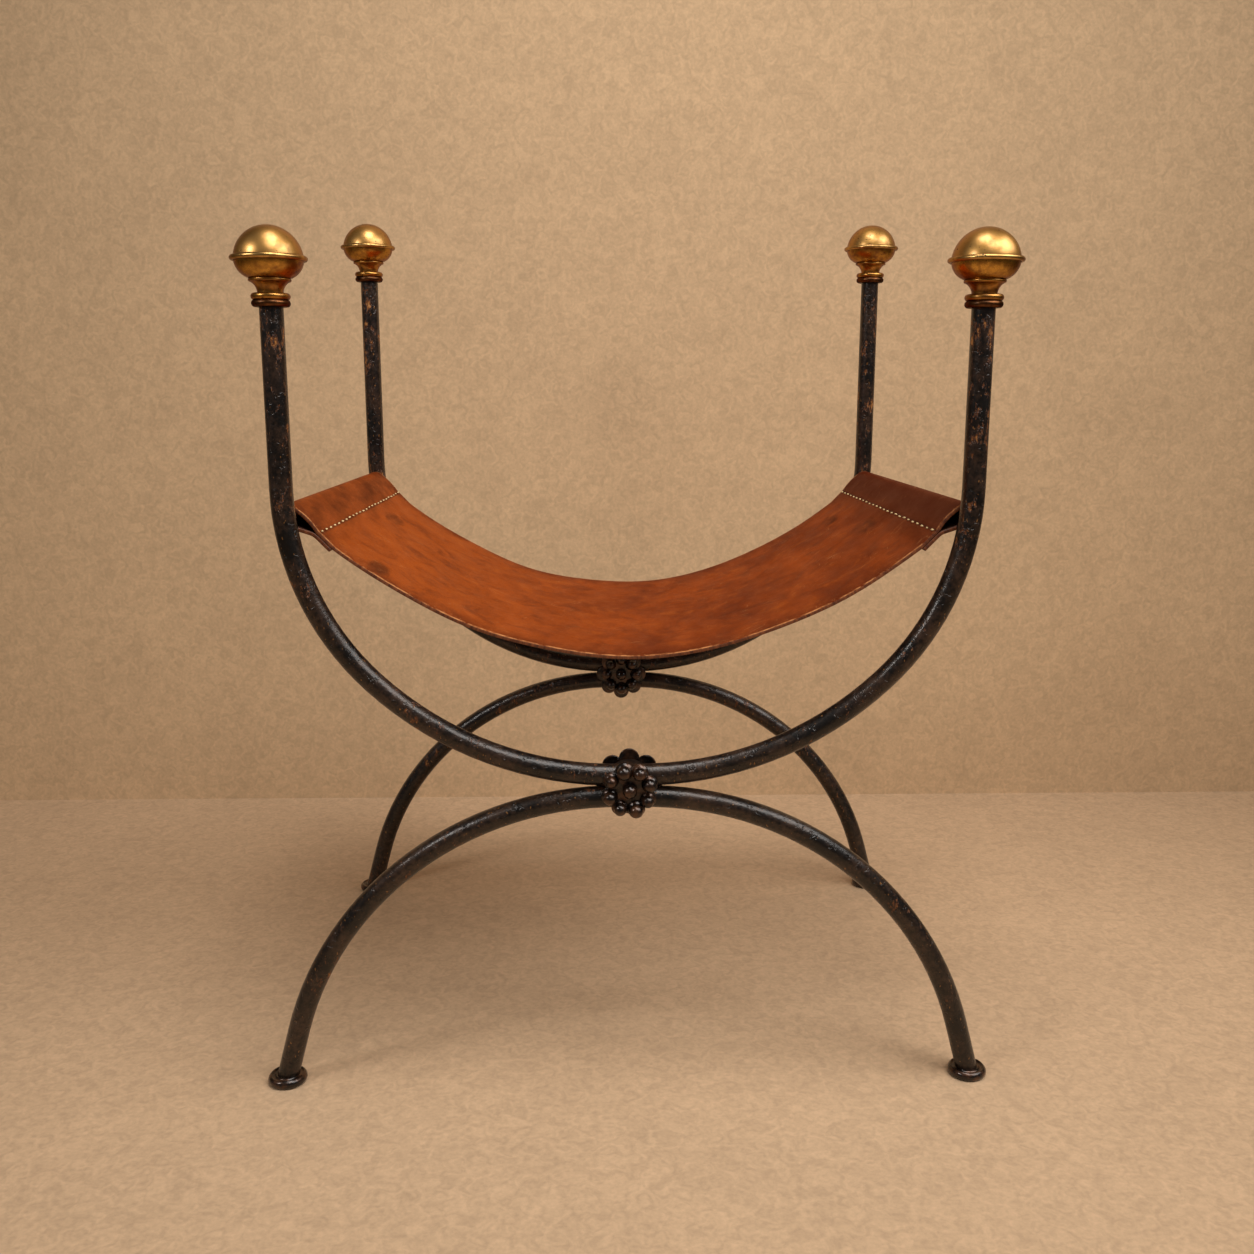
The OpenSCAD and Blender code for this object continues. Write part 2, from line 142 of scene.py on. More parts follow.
@dataclass(frozen=True)
class ForgedIron:
    """Mild steel bar, forged hot and blackened in oil: its skin of oxide is a brownish black with a satin gloss,
    lightly dented by the hammer, and chipped in places down to rust and tan metal.
    """

    name: str = "oil_blackened_forged_iron"
    scale_hex: str = "14100d"
    rubbed_hex: str = "3e2d22"
    rust_hex: str = "5f3518"
    bare_hex: str = "ab763f"
    cloud_mm: float = 30.0
    mottle_mm: float = 4.5
    patch_mm: float = 70.0
    chip_mm: float = 6.0
    fleck_mm: float = 2.2
    dent_mm: float = 18.0
    nick_mm: float = 5.0
    pit_mm: float = 1.6
    rubbed_from_z: float = 0.42
    rubbed_to_z: float = 0.56
    handled: float = 0.095

    def build(self) -> bpy.types.Material:
        """Builds the material.

        Returns:
            The finished material.
        """
        m = Recipe(self.name)
        where = m.add("TexCoord", out="Object")
        cloud = m.add("TexNoise", {"Vector": where, "Scale": per_mm(self.cloud_mm), "Detail": 3.0})
        mottle = m.add("TexNoise", {"Vector": where, "Scale": per_mm(self.mottle_mm), "Detail": 5.0, "Roughness": 0.65})
        both = m.add("Math", {0: cloud, 1: mottle}, operation="MULTIPLY")
        rubbed = m.add("MapRange", {0: both, 1: 0.18, 2: 0.38})
        colour = m.add("Mix", {0: rubbed, 6: linear(self.scale_hex), 7: linear(self.rubbed_hex)}, 2, data_type="RGBA")
        # Chips stand in patches and are drawn out along the bar; each is tan in its middle with a rusty edge
        upright = m.add("Mapping", {"Vector": where, "Scale": (1, 1, 0.5)})
        patch = m.add("TexNoise", {"Vector": where, "Scale": per_mm(self.patch_mm), "Detail": 2.0})
        patch = m.add("MapRange", {0: patch, 1: 0.4, 2: 0.62, 3: 0.78, 4: 1.04})
        # Hands and clothes rub the posts, so they have chipped more than the legs
        height = m.add("SeparateXYZ", {0: where}, "Z")
        handled = m.add("MapRange", {0: height, 1: self.rubbed_from_z, 2: self.rubbed_to_z, 4: self.handled})
        patch = m.add("Math", {0: patch, 1: handled}, operation="ADD")
        chips = m.add("TexNoise", {"Vector": upright, "Scale": per_mm(self.chip_mm), "Detail": 5.0, "Roughness": 0.75})
        chipped = m.add("Math", {0: patch, 1: chips}, operation="MULTIPLY")
        rusty = m.add("MapRange", {0: chipped, 1: 0.58, 2: 0.62})
        bare = m.add("MapRange", {0: chipped, 1: 0.655, 2: 0.69})
        flecks = m.add("TexNoise", {"Vector": upright, "Scale": per_mm(self.fleck_mm), "Detail": 1.0})
        flecks = m.add("MapRange", {0: flecks, 1: 0.71, 2: 0.75, 4: 0.5})
        bare = m.add("Math", {0: bare, 1: flecks}, operation="MAXIMUM")
        colour = m.add("Mix", {0: rusty, 6: colour, 7: linear(self.rust_hex)}, 2, data_type="RGBA")
        colour = m.add("Mix", {0: bare, 6: colour, 7: linear(self.bare_hex)}, 2, data_type="RGBA")
        metal = m.add("MapRange", {0: rusty, 3: 0.25, 4: 0.05})
        gloss = m.add("MapRange", {0: mottle, 1: 0.3, 2: 0.7, 3: 0.28, 4: 0.44})
        gloss = m.add("Math", {0: rusty, 1: 0.3, 2: gloss}, operation="MULTIPLY_ADD")
        dents = m.add("TexNoise", {"Vector": where, "Scale": per_mm(self.dent_mm), "Detail": 1.0})
        relief = m.add("Bump", {"Strength": 0.65, "Distance": 1.3 * MM, "Height": dents})
        nicks = m.add("TexNoise", {"Vector": where, "Scale": per_mm(self.nick_mm), "Detail": 2.0, "Distortion": 0.6})
        nicks = m.add("MapRange", {0: nicks, 1: 0.62, 2: 0.7})
        relief = m.add("Bump", {"Strength": 0.7, "Distance": 0.5 * MM, "Height": nicks, "Normal": relief}, invert=True)
        pits = m.add("TexNoise", {"Vector": where, "Scale": per_mm(self.pit_mm), "Detail": 3.0})
        relief = m.add("Bump", {"Strength": 0.7, "Distance": 0.3 * MM, "Height": pits, "Normal": relief})
        relief = m.add("Bump", {"Strength": 0.6, "Distance": 0.25 * MM, "Height": rusty, "Normal": relief}, invert=True)
        shader = {"Base Color": colour, "Metallic": metal, "Roughness": gloss, "Normal": relief}
        shader |= {"Specular IOR Level": 0.2, "Coat Weight": 0.6, "Coat Roughness": 0.19, "Coat Normal": relief}
        m.add("OutputMaterial", {"Surface": m.add("BsdfPrincipled", shader)})
        return m.material


@dataclass(frozen=True)
class BrownedIron:
    """Small iron forgings, browned with oil and heat: dark brown with warmer clouds and a fine pitted skin."""

    name: str = "oil_browned_iron"
    dark_hex: str = "1f1713"
    warm_hex: str = "563722"
    cloud_mm: float = 8.0
    pit_mm: float = 1.1
    roughness: float = 0.3

    def build(self) -> bpy.types.Material:
        """Builds the material.

        Returns:
            The finished material.
        """
        m = Recipe(self.name)
        where = m.add("TexCoord", out="Object")
        cloud = m.add("TexNoise", {"Vector": where, "Scale": per_mm(self.cloud_mm), "Detail": 4.0})
        warm = m.add("MapRange", {0: cloud, 1: 0.44, 2: 0.66})
        colour = m.add("Mix", {0: warm, 6: linear(self.dark_hex), 7: linear(self.warm_hex)}, 2, data_type="RGBA")
        gloss = m.add("MapRange", {0: cloud, 1: 0.3, 2: 0.7, 3: self.roughness - 0.06, 4: self.roughness + 0.12})
        pits = m.add("TexNoise", {"Vector": where, "Scale": per_mm(self.pit_mm), "Detail": 3.0})
        relief = m.add("Bump", {"Strength": 0.3, "Distance": 0.3 * MM, "Height": pits})
        shader = {"Base Color": colour, "Metallic": 0.7, "Roughness": gloss, "Normal": relief}
        shader |= {"Coat Weight": 0.6, "Coat Roughness": 0.12, "Coat Normal": relief}
        m.add("OutputMaterial", {"Surface": m.add("BsdfPrincipled", shader)})
        return m.material


@dataclass(frozen=True)
class AgedBrass:
    """Spun or turned brass, once polished, lacquered and then left to age: gold where hands rub it, brown in soft
    patches, with small dark specks. The lacquer adds a pale gloss over the golden one.
    """

    name: str
    bright_hex: str = "c89b4c"
    brown_hex: str = "8f6a28"
    speck_hex: str = "2a1c0e"
    rim_hex: str = "8a6c28"
    coat: float = 0.6
    brown_from: float = 0.46
    cloud_mm: float = 30.0
    patch_mm: float = 5.0
    speck_mm: float = 3.6
    rare_mm: float = 11.0
    dent_mm: float = 9.0
    fine_mm: float = 1.2
    roughness: float = 0.32

    def build(self) -> bpy.types.Material:
        """Builds the material.

        Returns:
            The finished material.
        """
        m = Recipe(self.name)
        where = m.add("TexCoord", out="Object")
        cloud = m.add("TexNoise", {"Vector": where, "Scale": per_mm(self.cloud_mm), "Detail": 5.0, "Roughness": 0.6})
        patch = m.add("TexNoise", {"Vector": where, "Scale": per_mm(self.patch_mm), "Detail": 4.0})
        both = m.add("Math", {0: cloud, 1: patch}, operation="ADD")
        brown = m.add("MapRange", {0: both, 1: self.brown_from * 2, 2: self.brown_from * 2 + 0.4})
        colour = m.add("Mix", {0: brown, 6: linear(self.bright_hex), 7: linear(self.brown_hex)}, 2, data_type="RGBA")
        cells = m.add("TexVoronoi", {"Vector": where, "Scale": per_mm(self.speck_mm)})
        rare = m.add("TexNoise", {"Vector": where, "Scale": per_mm(self.rare_mm), "Detail": 2.0})
        rare = m.add("MapRange", {0: rare, 1: 0.5, 2: 0.62})
        speck = m.add("MapRange", {0: cells, 1: 0.24, 2: 0.12})
        speck = m.add("Math", {0: speck, 1: rare}, operation="MULTIPLY")
        colour = m.add("Mix", {0: speck, 6: colour, 7: linear(self.speck_hex)}, 2, data_type="RGBA")
        gloss = m.add("MapRange", {0: brown, 3: self.roughness, 4: self.roughness + 0.16})
        dents = m.add("TexNoise", {"Vector": where, "Scale": per_mm(self.dent_mm), "Detail": 2.0})
        relief = m.add("Bump", {"Strength": 0.25, "Distance": 0.5 * MM, "Height": dents})
        fine = m.add("TexNoise", {"Vector": where, "Scale": per_mm(self.fine_mm), "Detail": 3.0})
        relief = m.add("Bump", {"Strength": 0.3, "Distance": 0.1 * MM, "Height": fine, "Normal": relief})
        relief = m.add("Bump", {"Strength": 0.6, "Distance": 0.2 * MM, "Height": speck, "Normal": relief}, invert=True)
        shader = {"Base Color": colour, "Metallic": 1.0, "Roughness": gloss, "Normal": relief}
        shader |= {"Specular Tint": linear(self.rim_hex), "Coat Weight": self.coat, "Coat Roughness": 0.24}
        m.add("OutputMaterial", {"Surface": m.add("BsdfPrincipled", shader)})
        return m.material


@dataclass(frozen=True)
class LeatherGrain:
    """The grain side of vegetable-tanned cowhide, dyed russet and waxed: soft clouds and fine streaks that run along
    the strip, dark stains on the loops and by the hems, a few pale scratches and a tight pebbled grain. The left half
    is paler and the right loop darker, each partly in the dye and partly painted light and shade, and a painted shade
    darkens the groove along each seam.

    Strip coordinates in metres: x along the sling from right to left and y across it, 0 in its middle. The hems'
    widths are in metres too. Clouds and stains are wider across the strip than along it, because the camera sees
    it foreshortened that way.
    """

    length: float
    width: float
    seam_at: float
    uv_span: float
    base_hex: str = "682709"
    light_hex: str = "964110"
    # Paler dye; on the left half it is also painted light
    paler_and_lit_hex: str = "a14b15"
    ochre_hex: str = "b35a1b"
    # Dark dye and dirt; on the right loop also painted shade
    dark_hex: str = "4f1c08"
    # Stains, and the painted shade in the seam groove
    stain_and_shade_hex: str = "2c1108"
    scratch_hex: str = "c98a56"
    cloud_mm: float = 70.0
    mottle_mm: float = 24.0
    fine_mm: float = 1.8
    pore_mm: float = 1.6
    blotch_mm: float = 24.0
    scratch_mm: float = 0.75
    grain_mm: float = 1.3
    rare_mm: float = 45.0
    wear_mm: float = 9.0
    fleck_mm: float = 3.0
    soiled_hem: float = 0.05
    flecked_hem: float = 0.014
    worn_hem: float = 0.0034
    wide: float = 0.4
    smudges: tuple[tuple[tuple[float, float], float, float], ...] = (
        ((231, -176), 20, 0.36),
        ((-258, -10), 26, 0.42),
        ((-246, 120), 20, 0.46),
        ((262, 60), 22, 0.42),
    )

    def build(self) -> bpy.types.Material:
        """Builds the material.

        Returns:
            The finished material.
        """
        m = Recipe("waxed_russet_cowhide")
        uv = m.add("UVMap", uv_map="strip")
        where = m.add("Mapping", {"Vector": uv, "Scale": (self.uv_span,) * 3})
        signed = m.add("SeparateXYZ", {0: where}, "X")
        along = m.add("Math", {0: signed}, operation="ABSOLUTE")
        across = m.add("Math", {0: m.add("SeparateXYZ", {0: where}, "Y")}, operation="ABSOLUTE")
        hem = m.add("Math", {0: self.width / 2, 1: across}, operation="SUBTRACT")
        drawn = m.add("Mapping", {"Vector": where, "Scale": (0.9, 0.5, 1)})
        cloud = m.add("TexNoise", {"Vector": drawn, "Scale": per_mm(self.cloud_mm), "Detail": 5.0, "Roughness": 0.62})
        light = m.add("MapRange", {0: cloud, 1: 0.34, 2: 0.68})
        colour = m.add("Mix", {0: light, 6: linear(self.base_hex), 7: linear(self.light_hex)}, 2, data_type="RGBA")
        # Partly painted light: the left half turns paler, partly as dye and partly as painted light on the side that
        # faces the key lamp
        paler = m.add("MapRange", {0: signed, 1: -0.02, 2: 0.2, 4: 0.75})
        colour = m.add("Mix", {0: paler, 6: colour, 7: linear(self.paler_and_lit_hex)}, 2, data_type="RGBA")
        drawn = m.add("Mapping", {"Vector": where, "Scale": (0.7, 0.6, 1)})
        mottle = {"Vector": drawn, "Scale": per_mm(self.mottle_mm), "Detail": 6.0, "Roughness": 0.66, "Distortion": 0.9}
        mottle = m.add("TexNoise", mottle)
        # The streaks fade out on the loops
        open_part = m.add("MapRange", {0: along, 1: self.seam_at + 0.005, 2: self.seam_at - 0.03, 3: 0.4, 4: 1.0})
        dark = m.add("MapRange", {0: mottle, 1: 0.5, 2: 0.74, 4: 0.65})
        dark = m.add("Math", {0: dark, 1: open_part}, operation="MULTIPLY")
        colour = m.add("Mix", {0: dark, 6: colour, 7: linear(self.dark_hex)}, 2, data_type="RGBA")
        bright = m.add("MapRange", {0: mottle, 1: 0.46, 2: 0.28, 4: 0.42})
        bright = m.add("Math", {0: bright, 1: open_part}, operation="MULTIPLY")
        colour = m.add("Mix", {0: bright, 6: colour, 7: linear(self.ochre_hex)}, 2, data_type="RGBA")
        drawn = m.add("Mapping", {"Vector": where, "Scale": (0.12, 1, 1)})
        fine = m.add("TexNoise", {"Vector": drawn, "Scale": per_mm(self.fine_mm), "Detail": 3.0})
        dark = m.add("MapRange", {0: fine, 1: 0.52, 2: 0.72, 4: 0.22})
        colour = m.add("Mix", {0: dark, 6: colour, 7: linear(self.dark_hex)}, 2, data_type="RGBA")
        pores = m.add("TexNoise", {"Vector": where, "Scale": per_mm(self.pore_mm), "Detail": 2.0})
        dark = m.add("MapRange", {0: pores, 1: 0.54, 2: 0.72, 4: 0.45})
        colour = m.add("Mix", {0: dark, 6: colour, 7: linear(self.dark_hex)}, 2, data_type="RGBA")
        # The loops have taken up more oil and dirt, and so have the hems; the right loop is darker still, partly in the
        # dye and partly as painted shade
        wide = m.add("Mapping", {"Vector": where, "Scale": (1, self.wide, 1)})
        blotch = m.add("TexNoise", {"Vector": wide, "Scale": per_mm(self.blotch_mm), "Detail": 5.0, "Roughness": 0.65})
        near = m.add("MapRange", {0: along, 1: self.seam_at - 0.046, 2: self.seam_at + 0.01})
        near = m.add("Math", {0: near, 1: blotch}, operation="MULTIPLY")
        near = m.add("MapRange", {0: near, 1: 0.3, 2: 0.66, 4: 0.68})
        colour = m.add("Mix", {0: near, 6: colour, 7: linear(self.stain_and_shade_hex)}, 2, data_type="RGBA")
        # Partly painted shade: the right loop darkens, partly as dye and partly as the shade of its side that faces
        # away from the lamps
        right = m.add("MapRange", {0: signed, 1: 0.03 - self.seam_at, 2: -0.015 - self.seam_at, 4: 0.88})
        colour = m.add("Mix", {0: right, 6: colour, 7: linear(self.dark_hex)}, 2, data_type="RGBA")
        rim = m.add("MapRange", {0: hem, 1: self.soiled_hem, 2: 0.002})
        rim = m.add("Math", {0: rim, 1: blotch}, operation="MULTIPLY")
        rim = m.add("MapRange", {0: rim, 1: 0.2, 2: 0.6, 4: 0.7})
        colour = m.add("Mix", {0: rim, 6: colour, 7: linear(self.dark_hex)}, 2, data_type="RGBA")
        for place, radius, least in self.smudges:
            centre = (place[0] * MM, place[1] * MM * self.wide, 0)
            away = m.add("VectorMath", {0: wide, 1: centre}, "Value", operation="DISTANCE")
            away = m.add("MapRange", {0: away, 1: radius * MM, 2: 0.3 * radius * MM, 4: 1.3})
            spot = m.add("Math", {0: away, 1: blotch}, operation="MULTIPLY")
            spot = m.add("MapRange", {0: spot, 1: least, 2: least + 0.35, 4: 0.6})
            colour = m.add("Mix", {0: spot, 6: colour, 7: linear(self.stain_and_shade_hex)}, 2, data_type="RGBA")
        # Scratches: a pattern drawn out into short straight lines, of which only the strongest show
        pale = None
        for turn, out, least in ((0.5, 26, 0.76), (-0.35, 34, 0.77), (1.3, 20, 0.79)):
            turned = m.add("Mapping", {"Vector": where, "Rotation": (0, 0, turn)})
            turned = m.add("Mapping", {"Vector": turned, "Scale": (1 / out, 1, 1)})
            line = m.add("TexNoise", {"Vector": turned, "Scale": per_mm(self.scratch_mm), "Detail": 0.0})
            line = m.add("MapRange", {0: line, 1: least, 2: least + 0.06, 4: 0.6})
            pale = line if pale is None else m.add("Math", {0: pale, 1: line}, operation="MAXIMUM")
        rare = m.add("TexNoise", {"Vector": where, "Scale": per_mm(self.rare_mm), "Detail": 2.0})
        pale = m.add("Math", {0: pale, 1: m.add("MapRange", {0: rare, 1: 0.45, 2: 0.6})}, operation="MULTIPLY")
        worn = m.add("MapRange", {0: hem, 1: self.worn_hem, 2: 0.0012})
        some = m.add("TexNoise", {"Vector": where, "Scale": per_mm(self.wear_mm), "Detail": 5.0, "Roughness": 0.7})
        some = m.add("MapRange", {0: some, 1: 0.42, 2: 0.58, 4: 0.85})
        worn = m.add("Math", {0: worn, 1: some}, operation="MULTIPLY")
        # Flecks of bare leather just inside the hems
        fleck = m.add("TexNoise", {"Vector": where, "Scale": per_mm(self.fleck_mm), "Detail": 3.0})
        fleck = m.add("MapRange", {0: fleck, 1: 0.64, 2: 0.7, 4: 0.6})
        inside = m.add("MapRange", {0: hem, 1: self.flecked_hem, 2: 0.004})
        fleck = m.add("Math", {0: fleck, 1: inside}, operation="MULTIPLY")
        worn = m.add("Math", {0: worn, 1: fleck}, operation="MAXIMUM")
        pale = m.add("Math", {0: pale, 1: worn}, operation="MAXIMUM")
        colour = m.add("Mix", {0: pale, 6: colour, 7: linear(self.scratch_hex)}, 2, data_type="RGBA")
        gloss = m.add("MapRange", {0: blotch, 1: 0.3, 2: 0.7, 3: 0.4, 4: 0.56})
        grain = m.add("TexVoronoi", {"Vector": where, "Scale": per_mm(self.grain_mm)})
        relief = m.add("Bump", {"Strength": 0.2, "Distance": 0.2 * MM, "Height": grain})
        relief = m.add("Bump", {"Strength": 0.4, "Distance": 1.2 * MM, "Height": cloud, "Normal": relief})
        relief = m.add("Bump", {"Strength": 0.3, "Distance": 0.3 * MM, "Height": fine, "Normal": relief})
        # The thread pulls a shallow groove along each seam, and a painted shade darkens the leather along it
        off = m.add("Math", {0: along, 1: self.seam_at}, operation="SUBTRACT")
        groove = m.add("MapRange", {0: m.add("Math", {0: off}, operation="ABSOLUTE"), 1: 0.0, 2: 0.004})
        relief = m.add("Bump", {"Strength": 0.7, "Distance": 0.8 * MM, "Height": groove, "Normal": relief})
        shadow = m.add("MapRange", {0: groove, 1: 0.6, 2: 0.1, 4: 0.55})
        colour = m.add("Mix", {0: shadow, 6: colour, 7: linear(self.stain_and_shade_hex)}, 2, data_type="RGBA")
        shader = {"Base Color": colour, "Roughness": gloss, "Normal": relief, "Specular IOR Level": 0.025}
        m.add("OutputMaterial", {"Surface": m.add("BsdfPrincipled", shader)})
        return m.material


@dataclass(frozen=True)
class LeatherBack:
    """The flesh side or the cut edge of cowhide: brown and fibrous, with no shine on the flesh side and a little
    on the burnished edge.
    """

    name: str
    dark_hex: str
    light_hex: str
    fibre_mm: float
    roughness: float
    uv_span: float

    def build(self) -> bpy.types.Material:
        """Builds the material.

        Returns:
            The finished material.
        """
        m = Recipe(self.name)
        where = m.add("Mapping", {"Vector": m.add("UVMap", uv_map="strip"), "Scale": (self.uv_span,) * 3})
        fibre = m.add("TexNoise", {"Vector": where, "Scale": per_mm(self.fibre_mm), "Detail": 5.0, "Roughness": 0.7})
        light = m.add("MapRange", {0: fibre, 1: 0.35, 2: 0.75})
        colour = m.add("Mix", {0: light, 6: linear(self.dark_hex), 7: linear(self.light_hex)}, 2, data_type="RGBA")
        relief = m.add("Bump", {"Strength": 0.6, "Distance": 0.3 * MM, "Height": fibre})
        shader = {"Base Color": colour, "Roughness": self.roughness, "Normal": relief}
        m.add("OutputMaterial", {"Surface": m.add("BsdfPrincipled", shader)})
        return m.material


@dataclass(frozen=True)
class WaxedThread:
    """Linen thread, twisted from strands and waxed: cream, soiled grey in patches and darker in the grooves of its
    twist.
    """

    light_hex: str = "f8dea6"
    dark_hex: str = "9a7c50"
    twist_mm: float = 1.1
    soil_mm: float = 12.0

    def build(self) -> bpy.types.Material:
        """Builds the material.

        Returns:
            The finished material.
        """
        m = Recipe("waxed_linen_thread")
        where = m.add("TexCoord", out="Object")
        turned = m.add("Mapping", {"Vector": where, "Rotation": (0.6, 0, 0)})
        # A wave texture of scale 1 repeats every pi / 10 metres
        wave = {"Vector": turned, "Scale": per_mm(self.twist_mm) * math.pi / 10, "Distortion": 0.4}
        twist = m.add("TexWave", wave, "Fac", bands_direction="Y")
        soil = m.add("TexNoise", {"Vector": where, "Scale": per_mm(self.soil_mm), "Detail": 3.0})
        soil = m.add("MapRange", {0: soil, 1: 0.5, 2: 0.8})
        colour = m.add("Mix", {0: soil, 6: linear(self.light_hex), 7: linear(self.dark_hex)}, 2, data_type="RGBA")
        groove = m.add("MapRange", {0: twist, 1: 0.5, 2: 0.0, 4: 0.5})
        colour = m.add("Mix", {0: groove, 6: colour, 7: linear(self.dark_hex)}, 2, data_type="RGBA")
        relief = m.add("Bump", {"Strength": 0.6, "Distance": 0.2 * MM, "Height": twist})
        shader = {"Base Color": colour, "Roughness": 0.62, "Normal": relief}
        m.add("OutputMaterial", {"Surface": m.add("BsdfPrincipled", shader)})
        return m.material


@dataclass(frozen=True)
class Limewash:
    """Limewashed plaster: matt, with faint clouds from the brush."""

    name: str
    hex_code: str
    cloud_mm: float = 110.0
    daub_mm: float = 12.0
    grit_mm: float = 4.0
    see_behind: bool = False

    def build(self) -> bpy.types.Material:
        """Builds the material. One that is seen behind is clear from its back, so that it hides nothing there.

        Returns:
            The finished material.
        """
        m = Recipe(self.name)
        where = m.add("TexCoord", out="Object")
        cloud = m.add("TexNoise", {"Vector": where, "Scale": per_mm(self.cloud_mm), "Detail": 6.0, "Roughness": 0.7})
        cloud = m.add("MapRange", {0: cloud, 1: 0.3, 2: 0.7, 3: 0.95, 4: 1.04})
        daub = m.add("TexNoise", {"Vector": where, "Scale": per_mm(self.daub_mm), "Detail": 4.0, "Distortion": 1.2})
        daub = m.add("MapRange", {0: daub, 1: 0.33, 2: 0.67, 3: 0.885, 4: 1.085})
        cloud = m.add("Math", {0: cloud, 1: daub}, operation="MULTIPLY")
        grit = m.add("TexNoise", {"Vector": where, "Scale": per_mm(self.grit_mm), "Detail": 3.0, "Roughness": 0.6})
        grit = m.add("MapRange", {0: grit, 1: 0.3, 2: 0.62, 3: 0.92, 4: 1.04})
        cloud = m.add("Math", {0: cloud, 1: grit}, operation="MULTIPLY")
        shade = m.add("CombineColor", {0: cloud, 1: cloud, 2: cloud})
        tint = {0: 1.0, 6: linear(self.hex_code), 7: shade}
        colour = m.add("Mix", tint, 2, data_type="RGBA", blend_type="MULTIPLY")
        surface = m.add("BsdfPrincipled", {"Base Color": colour, "Roughness": 0.85})
        if self.see_behind:
            clear = m.add("BsdfTransparent")
            behind = m.add("NewGeometry", out="Backfacing")
            surface = m.add("MixShader", {0: behind, 1: surface, 2: clear})
        m.add("OutputMaterial", {"Surface": surface})
        return m.material


def to_object(
    bm: bmesh.types.BMesh, name: str, materials: list[bpy.types.Material], sharp_deg: float = 40
) -> bpy.types.Object:
    """Makes a bmesh an object at the origin, with smooth shading and sharp corners.

    Args:
        bm: the mesh, which is freed.
        name: the piece's name.
        materials: its materials.
        sharp_deg: the angle from which an edge stays sharp.

    Returns:
        The new object.
    """
    mesh = bpy.data.meshes.new(name)
    bm.to_mesh(mesh)
    bm.free()
    for polygon in mesh.polygons:
        polygon.use_smooth = True
    mesh.set_sharp_from_angle(angle=math.radians(sharp_deg))
    for material in materials:
        mesh.materials.append(material)
    made = bpy.data.objects.new(name, mesh)
    bpy.context.scene.collection.objects.link(made)
    log.info("%s: %d faces", name, len(mesh.polygons))
    return made


def dress(node: str, material: bpy.types.Material) -> None:
    """Gives a CAD node its finish.

    Args:
        node: the node's name.
        material: the finish.
    """
    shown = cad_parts[node]
    shown.data.materials.clear()
    shown.data.materials.append(material)
    log.info("%s: %s", node, material.name)


@dataclass
class SideFrames:
    """The four bent bars, the two seat rails and the four feet."""

    iron: bpy.types.Material
    browned: bpy.types.Material

    def build(self) -> None:
        """Dresses the bars, rails and feet."""
        for row in Row:
            for letter in "ab":
                dress(f"{row.name.lower()}_bar_{letter}", self.iron)
            for side in Side:
                dress(f"{row.name.lower()}_{side.name.lower()}_foot", self.browned)
        for side in Side:
            dress(f"{side.name.lower()}_seat_rail", self.iron)


@dataclass
class Finials:
    """The ball finials on the four posts."""

    dome: bpy.types.Material
    bowl: bpy.types.Material
    bead: bpy.types.Material
    neck: bpy.types.Material
    collar: bpy.types.Material
    steel: bpy.types.Material

    def build(self) -> None:
        """Dresses each finial's five pieces and its hidden stud and nut."""
        finishes = {"dome": self.dome, "bowl": self.bowl, "bead": self.bead, "neck": self.neck, "collar": self.collar}
        for side in Side:
            for row in Row:
                for piece, material in finishes.items():
                    dress(f"{row.name.lower()}_{side.name.lower()}_{piece}", material)
            for hidden in ("studs", "nuts"):
                dress(f"{side.name.lower()}_finial_{hidden}", self.steel)


